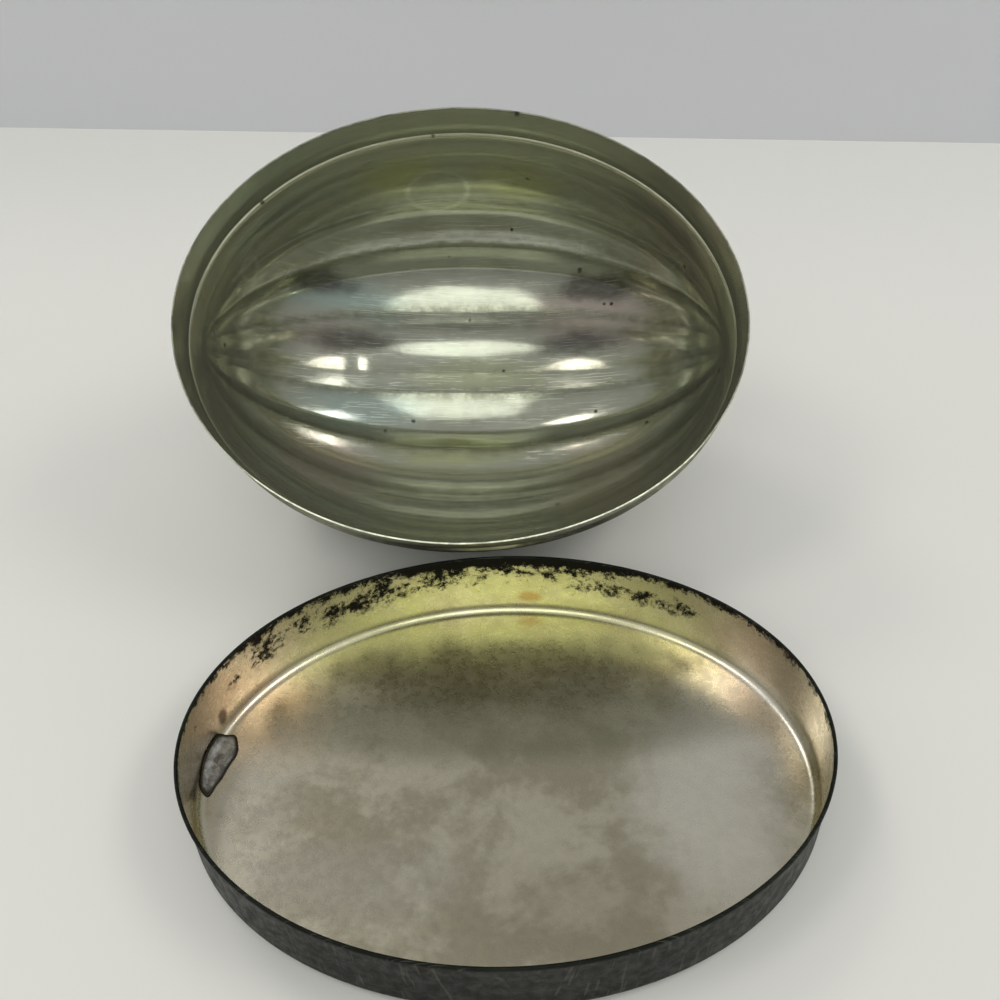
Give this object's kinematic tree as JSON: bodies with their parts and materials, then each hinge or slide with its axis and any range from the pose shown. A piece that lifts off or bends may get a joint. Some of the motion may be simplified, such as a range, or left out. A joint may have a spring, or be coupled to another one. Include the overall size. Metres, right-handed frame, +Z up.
{
  "type": "steamed pudding mould",
  "caption": "Oval half-melon pudding mould of thin tinned steel with a lobed bowl, beaded collar and shallow push-on lid, lid off and mould leaning on it.",
  "frame": {"origin": "centre of the lid's flat underside, on the table", "axes": "+X along the long axes of lid and mould, +Y from the lid toward the mould, +Z up"},
  "size_m": [0.2119, 0.2914, 0.149],
  "materials": {
    "lid_tin": "dull tinned sheet, clouded beige-grey inside and oxidised dark outside",
    "solder": "mottled silver-grey solder",
    "mould_tin": "satin tarnished tin, olive-grey"
  },
  "bodies": {
    "lid": {"lid_pan": "lid_tin", "solder_patch": "solder"},
    "mould": {"mould_shell": "mould_tin"}
  },
  "joints": [
    {"name": "mould_lift", "type": "slide", "parent": "lid", "child": "mould", "axis": [0, 0, 1], "range_m": [0, 0.15]}
  ]
}
